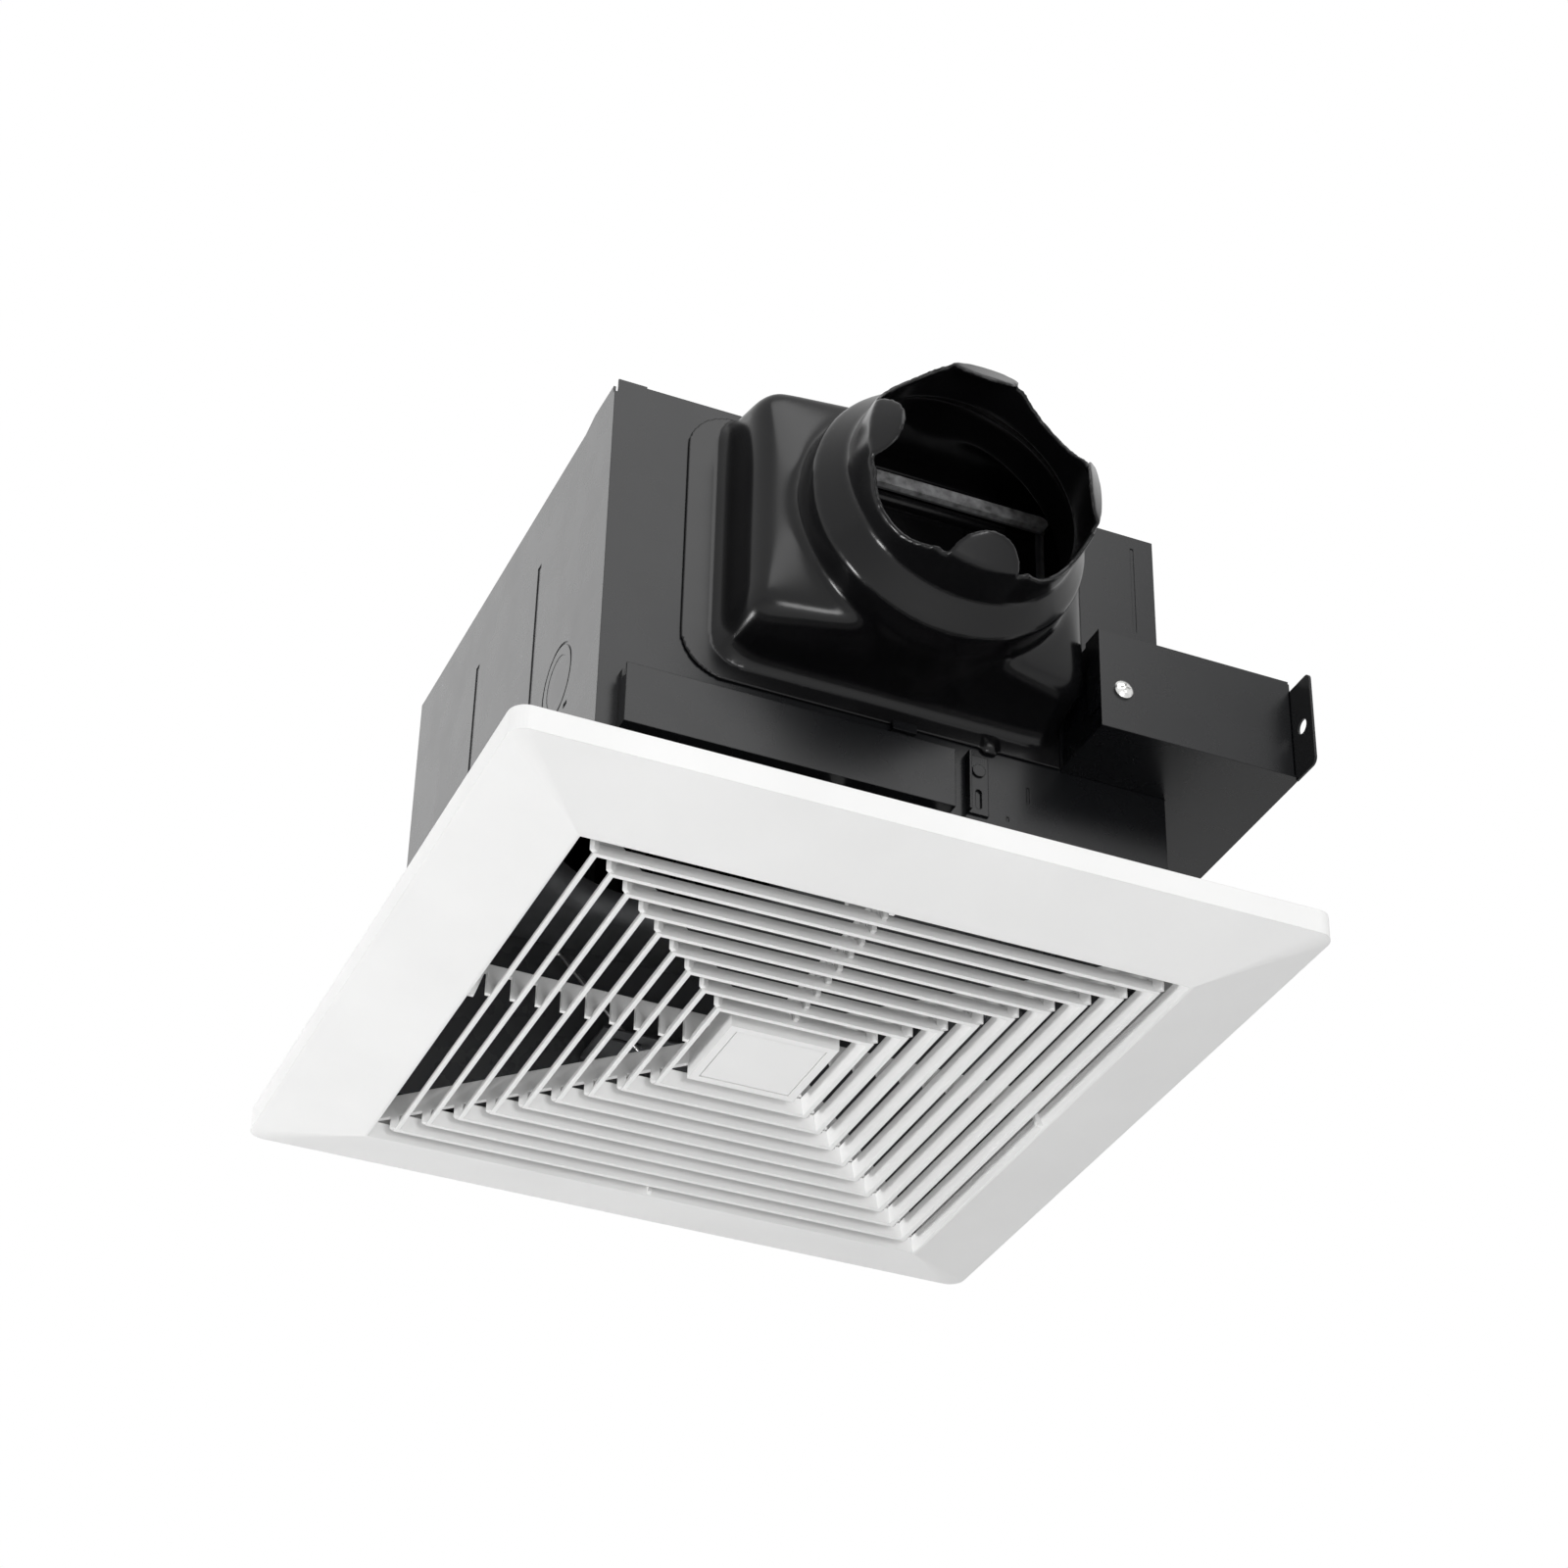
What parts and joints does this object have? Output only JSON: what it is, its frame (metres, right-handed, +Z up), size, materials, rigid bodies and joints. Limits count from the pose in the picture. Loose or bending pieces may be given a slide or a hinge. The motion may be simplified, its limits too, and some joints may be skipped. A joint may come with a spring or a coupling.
{
  "type": "ceiling ventilating fan",
  "caption": "Recessed ceiling ventilating fan: square louvred grille on wire springs, sheet housing, centrifugal wheel, round duct collar with a damper and a wiring box.",
  "frame": {"origin": "centre of the housing's opening on the ceiling plane, which is the top face of the fixing flange", "axes": "+Z up into the ceiling, -Y towards the duct collar, +X towards the wiring box"},
  "size_m": [0.33, 0.3755, 0.2204],
  "materials": {
    "white_plastic": "fine satin moulding",
    "black_plastic": "semi-gloss moulding",
    "grey_paint": "satin charcoal coating",
    "zinc_sheet": "dull zinc-coated sheet",
    "spring_steel": "bright drawn wire",
    "bright_steel": "bright plated fasteners",
    "copper_winding": "varnished winding",
    "grey_foam": "open-cell foam strip",
    "rubber": "soft bush",
    "green_plating": "green earth screw",
    "ivory_plastic": "terminal moulding"
  },
  "bodies": {
    "housing": {"housing_shell": "grey_paint", "housing_lid": "grey_paint", "lid_screws": "bright_steel", "knockout_discs": "grey_paint", "inlet_ring": "zinc_sheet", "inlet_ring_screws": "bright_steel", "scroll_wall": "zinc_sheet", "motor_plate": "zinc_sheet", "plate_screws": "bright_steel", "motor_case": "zinc_sheet", "motor_end_cap": "zinc_sheet", "motor_stator": "copper_winding", "motor_bearings": "bright_steel", "motor_screws": "bright_steel", "capacitor": "ivory_plastic", "capacitor_clip": "zinc_sheet", "damper_frame": "black_plastic", "damper_gasket": "grey_foam", "duct_adapter": "black_plastic", "adapter_catch": "grey_paint", "rail_channel": "grey_paint", "rail_strap": "grey_paint", "wall_rivets": "grey_paint", "junction_box": "grey_paint", "junction_cover": "grey_paint", "cover_screw": "bright_steel", "box_screws": "bright_steel", "ground_screw": "green_plating", "terminal_block": "ivory_plastic", "terminal_screws": "bright_steel", "lead_bush": "rubber", "spring_brackets": "zinc_sheet", "bracket_rivets": "bright_steel"},
    "wheel": {"motor_shaft": "bright_steel", "motor_rotor": "zinc_sheet", "wheel_cup": "black_plastic", "blower_wheel": "black_plastic", "wheel_nut": "bright_steel"},
    "damper": {"damper_flap": "black_plastic", "damper_pin": "bright_steel"},
    "grille": {"grille_panel": "white_plastic", "centre_plate": "white_plastic", "spring_lugs": "white_plastic", "spring_coils": "spring_steel", "spring_retainers": "zinc_sheet"},
    "leg_back_left": {"spring_leg_back_left": "spring_steel"},
    "leg_back_right": {"spring_leg_back_right": "spring_steel"},
    "leg_front_left": {"spring_leg_front_left": "spring_steel"},
    "leg_front_right": {"spring_leg_front_right": "spring_steel"}
  },
  "joints": [
    {"name": "wheel_spin", "type": "hinge", "parent": "housing", "child": "wheel", "pos_m": [-0.03, 0.026, 0.15], "axis": [0, 0, 1], "continuous": true},
    {"name": "damper_swing", "type": "hinge", "parent": "housing", "child": "damper", "pos_m": [0.003, -0.1231, 0.1745], "axis": [-1, 0, 0], "range_deg": [0, 45]},
    {"name": "grille_drop", "type": "slide", "parent": "housing", "child": "grille", "axis": [0, 0, -1], "range_m": [0, 0.045], "stiffness_N_per_m": 400, "springref_m": -0.02},
    {"name": "leg_back_left_swing", "type": "hinge", "parent": "grille", "child": "leg_back_left", "pos_m": [0, 0.0975, 0.008], "axis": [0, 1, 0], "range_deg": [0, 24]},
    {"name": "leg_back_right_swing", "type": "hinge", "parent": "grille", "child": "leg_back_right", "pos_m": [0, 0.1075, 0.008], "axis": [0, -1, 0], "range_deg": [0, 24]},
    {"name": "leg_front_left_swing", "type": "hinge", "parent": "grille", "child": "leg_front_left", "pos_m": [0, -0.1075, 0.008], "axis": [0, 1, 0], "range_deg": [0, 24]},
    {"name": "leg_front_right_swing", "type": "hinge", "parent": "grille", "child": "leg_front_right", "pos_m": [0, -0.0975, 0.008], "axis": [0, -1, 0], "range_deg": [0, 24]}
  ],
  "couplings": [
    {"joint": "leg_back_left_swing", "follows": "grille_drop", "rad_per_m": 9},
    {"joint": "leg_back_right_swing", "follows": "grille_drop", "rad_per_m": 9},
    {"joint": "leg_front_left_swing", "follows": "grille_drop", "rad_per_m": 9},
    {"joint": "leg_front_right_swing", "follows": "grille_drop", "rad_per_m": 9}
  ]
}
